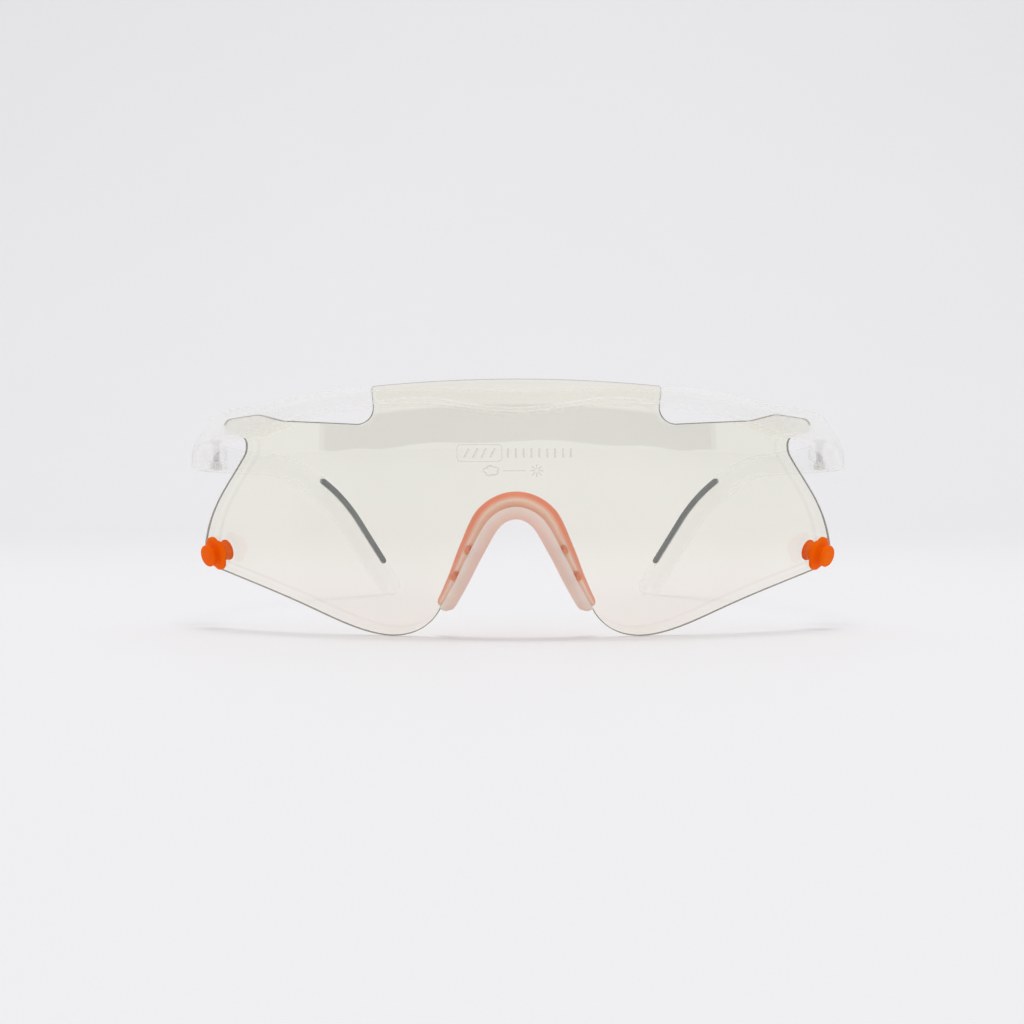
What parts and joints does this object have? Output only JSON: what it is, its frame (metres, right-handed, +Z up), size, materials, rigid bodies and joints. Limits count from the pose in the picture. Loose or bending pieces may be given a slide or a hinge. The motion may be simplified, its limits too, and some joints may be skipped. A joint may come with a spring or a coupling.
{
  "type": "wraparound sport sunglasses",
  "caption": "Half-rim wraparound sport sunglasses: clear shield lens on a clear brow bar, silicone nose pad, rubber lens pins and folding temples with rubber grips.",
  "frame": {"origin": "on the surface the glasses stand on, below the middle of their bounding box", "axes": "+Z up, the lens faces -Y and the open temples run back along +Y, +X is the wearer's left"},
  "size_m": [0.141, 0.1575, 0.0485],
  "materials": {
    "frame_clear": "crystal clear moulded nylon, satin gloss",
    "lens_clear": "polished polycarbonate, light grey-green photochromic tint",
    "pad_silicone": "translucent salmon silicone, satin",
    "pin_rubber": "orange moulded rubber, satin",
    "grip_rubber": "dark grey soft-touch rubber, fine cross ribs",
    "screw_steel": "slotted stainless hinge screw",
    "insert_steel": "turned nickel-plated threaded insert",
    "lens_print": null
  },
  "bodies": {
    "front": {"brow_frame": "frame_clear", "lens": "lens_clear", "nose_pad": "pad_silicone", "lens_pin_left": "pin_rubber", "lens_pin_right": "pin_rubber", "hinge_screw_left": "screw_steel", "hinge_screw_right": "screw_steel", "hinge_insert_left": "insert_steel", "hinge_insert_right": "insert_steel"},
    "left_temple": {"temple_left": "frame_clear", "temple_grip_left": "grip_rubber"},
    "right_temple": {"temple_right": "frame_clear", "temple_grip_right": "grip_rubber"}
  },
  "joints": [
    {"name": "left_temple_fold", "type": "hinge", "parent": "front", "child": "left_temple", "pos_m": [0.064, -0.0366, 0.036], "axis": [0, 0, 1], "range_deg": [0, 83]},
    {"name": "right_temple_fold", "type": "hinge", "parent": "front", "child": "right_temple", "pos_m": [-0.064, -0.0366, 0.036], "axis": [0, 0, -1], "range_deg": [0, 74]}
  ]
}
